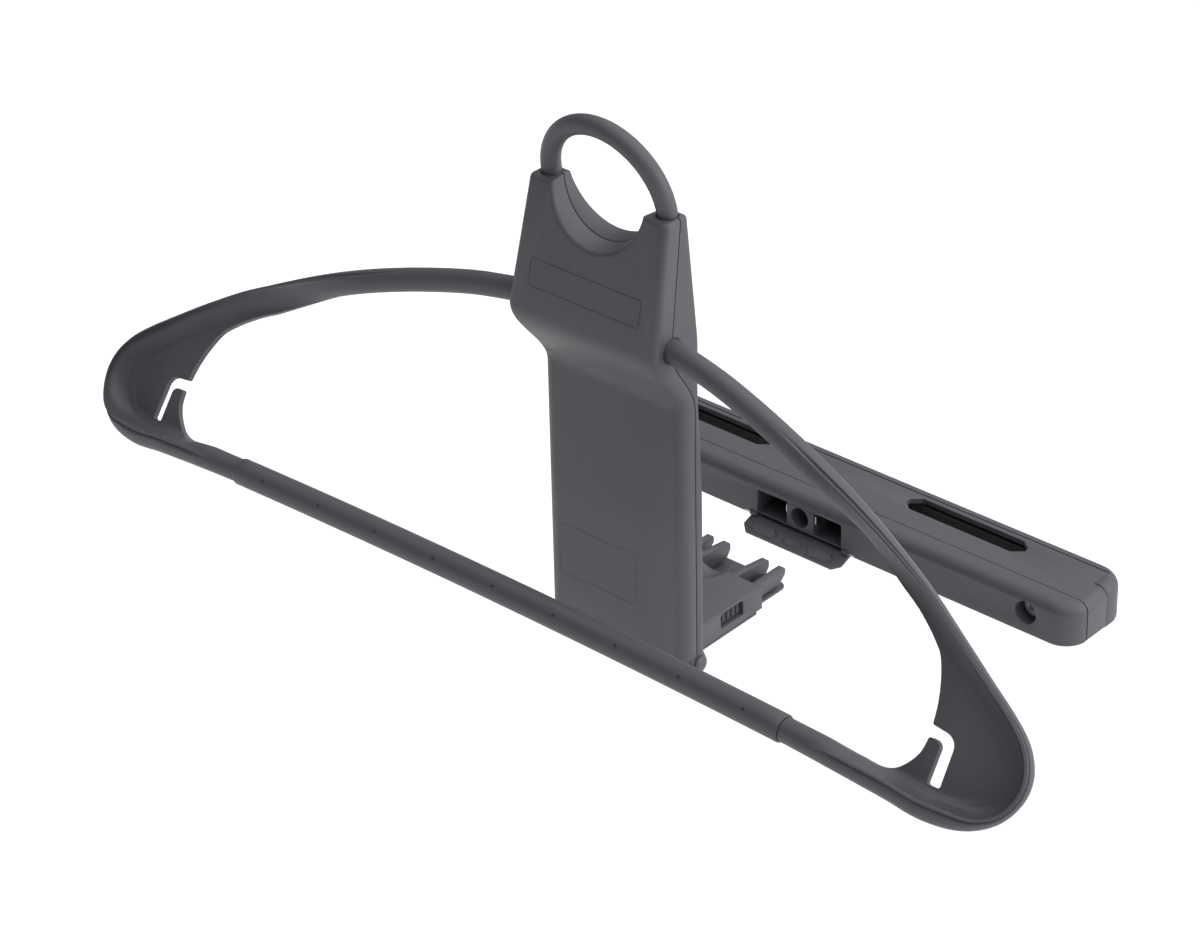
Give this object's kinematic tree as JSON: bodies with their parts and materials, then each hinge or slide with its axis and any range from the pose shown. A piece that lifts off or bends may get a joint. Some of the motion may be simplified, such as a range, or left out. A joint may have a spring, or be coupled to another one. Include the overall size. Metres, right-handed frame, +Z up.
{
  "type": "coat hanger",
  "caption": "Travel coat hanger with a hanging ring and folding plug, and a clamp unit for two headrest posts that the plug latches into.",
  "frame": {"origin": "midway between the two post slots of the clamp unit, at half its height", "axes": "+X along the clamp unit to the right, +Y the way the plug goes in and towards the seat, +Z up along the mast"},
  "size_m": [0.4198, 0.2036, 0.2188],
  "materials": {
    "dark_plastic": "fine matte grain",
    "inner_plastic": "matte",
    "steel": "plain",
    "rubber": "matte"
  },
  "bodies": {
    "base": {"base_front_shell": "dark_plastic", "base_frame": "dark_plastic", "base_bottom_plate": "dark_plastic", "socket_block": "inner_plastic", "socket_screw": "steel", "catch_spring_left": "steel", "catch_spring_right": "steel", "fixed_post_pad_left": "rubber", "fixed_post_pad_right": "rubber", "flap_pin_left": "steel", "flap_pin_right": "steel"},
    "jaw": {"clamp_jaw": "dark_plastic", "clamp_nut_left": "steel", "clamp_nut_right": "steel", "jaw_post_pad_left": "rubber", "jaw_post_pad_right": "rubber"},
    "screw_left": {"clamp_screw_left": "steel"},
    "screw_right": {"clamp_screw_right": "steel"},
    "flap": {"socket_flap": "dark_plastic"},
    "hanger": {"front_cover": "dark_plastic", "rear_cover": "dark_plastic", "top_loop": "dark_plastic", "arm_clamp_block": "inner_plastic", "cover_screw_1": "steel", "cover_screw_2": "steel", "cover_screw_3": "steel", "cover_screw_4": "steel", "left_shoulder": "dark_plastic", "right_shoulder": "dark_plastic", "trouser_bar_sleeve": "dark_plastic", "trouser_bar_core": "steel", "hinge_pin": "inner_plastic"},
    "plug": {"plug_body": "dark_plastic", "plug_base_plate": "dark_plastic", "button_spring_left": "steel", "button_spring_right": "steel"},
    "latch_left": {"latch_fin_left": "dark_plastic", "release_button_left": "inner_plastic"},
    "latch_right": {"latch_fin_right": "dark_plastic", "release_button_right": "inner_plastic"}
  },
  "joints": [
    {"name": "plug_in", "type": "slide", "parent": "base", "child": "hanger", "axis": [0, 1, 0], "range_m": [0, 0.0487]},
    {"name": "plug_fold", "type": "hinge", "parent": "hanger", "child": "plug", "pos_m": [0, -0.1195, -0.00295], "axis": [-1, 0, 0], "range_deg": [-90, 0]},
    {"name": "release_left", "type": "slide", "parent": "plug", "child": "latch_left", "axis": [1, 0, 0], "range_m": [0, 0.002], "stiffness_N_per_m": 600, "deforming": ["button_spring_left"]},
    {"name": "release_right", "type": "slide", "parent": "plug", "child": "latch_right", "axis": [-1, 0, 0], "range_m": [0, 0.002], "stiffness_N_per_m": 600, "deforming": ["button_spring_right"]},
    {"name": "flap_hinge", "type": "hinge", "parent": "base", "child": "flap", "pos_m": [0, -0.02355, -0.0074], "axis": [1, 0, 0], "range_deg": [-110, 0]},
    {"name": "screw_turn_left", "type": "hinge", "parent": "base", "child": "screw_left", "pos_m": [-0.104, 0, 0.0008], "axis": [0, -1, 0], "range_deg": [0, 1542.86]},
    {"name": "screw_turn_right", "type": "hinge", "parent": "base", "child": "screw_right", "pos_m": [0.104, 0, 0.0008], "axis": [0, -1, 0], "range_deg": [0, 1542.86]},
    {"name": "jaw_slide", "type": "slide", "parent": "base", "child": "jaw", "axis": [0, 1, 0], "range_m": [0, 0.003]}
  ],
  "couplings": [
    {"joint": "screw_turn_left", "follows": "jaw_slide", "rad_per_m": 8976},
    {"joint": "screw_turn_right", "follows": "jaw_slide", "rad_per_m": 8976}
  ]
}
